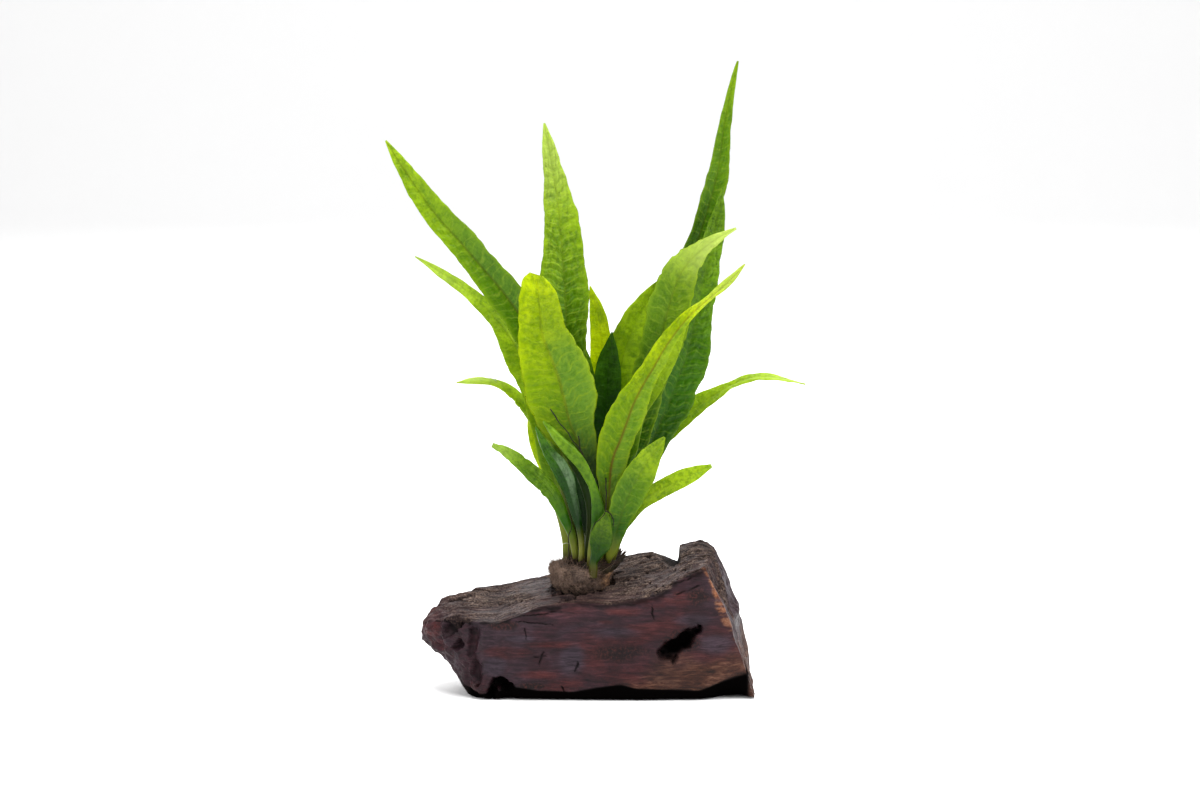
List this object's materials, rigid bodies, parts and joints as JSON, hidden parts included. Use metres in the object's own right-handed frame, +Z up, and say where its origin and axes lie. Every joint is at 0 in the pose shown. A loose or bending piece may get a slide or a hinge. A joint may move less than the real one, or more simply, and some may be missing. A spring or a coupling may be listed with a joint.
{
  "type": "java fern on driftwood",
  "caption": "Java fern with a fan of lance-shaped green fronds, rooted in a fibre mat wedged in the top of a dark piece of driftwood that stands on its flat underside.",
  "frame": {"origin": "on the flat underside of the driftwood, below the root mat", "axes": "+X along the driftwood from its pointed nose to its broken end, +Y to the back, +Z up"},
  "size_m": [0.1512, 0.0526, 0.2256],
  "materials": {
    "wood": "damp, dark red-brown, fibrous grain, half gloss on the front face",
    "roots": "matt felt of fine brown roots",
    "rhizome": "dull, dark brown-green, scaly",
    "frond_yellow_green": "thin, translucent, waxy half gloss, yellow-green",
    "frond_bright_green": "thin, translucent, waxy half gloss, bright green",
    "frond_mid_green": "translucent, waxy half gloss, green",
    "frond_dark_green": "waxy gloss, dark green"
  },
  "bodies": {
    "root": {"driftwood": "wood", "root_mat": "roots", "rhizome": "rhizome", "rhizome_left_branch": "rhizome", "rhizome_back_branch": "rhizome", "frond_left_tall": "frond_bright_green", "frond_left_arching": "frond_bright_green", "frond_front_broad": "frond_yellow_green", "frond_centre_tall": "frond_bright_green", "frond_back_yellow": "frond_yellow_green", "frond_right_tallest": "frond_bright_green", "frond_right_dark": "frond_mid_green", "frond_right_bright": "frond_bright_green", "frond_right_back": "frond_bright_green", "frond_front_yellow": "frond_yellow_green", "frond_right_inner": "frond_bright_green", "frond_centre_dark": "frond_dark_green", "frond_right_far": "frond_bright_green", "frond_right_low": "frond_bright_green", "frond_right_front": "frond_bright_green", "frond_left_ragged": "frond_bright_green", "frond_left_notched": "frond_mid_green", "frond_left_glossy": "frond_dark_green", "frond_inner_curly": "frond_mid_green", "frond_mid_speckled": "frond_mid_green", "frond_left_yellow": "frond_yellow_green", "frond_front_small": "frond_mid_green", "frond_young": "frond_dark_green"}
  },
  "joints": []
}
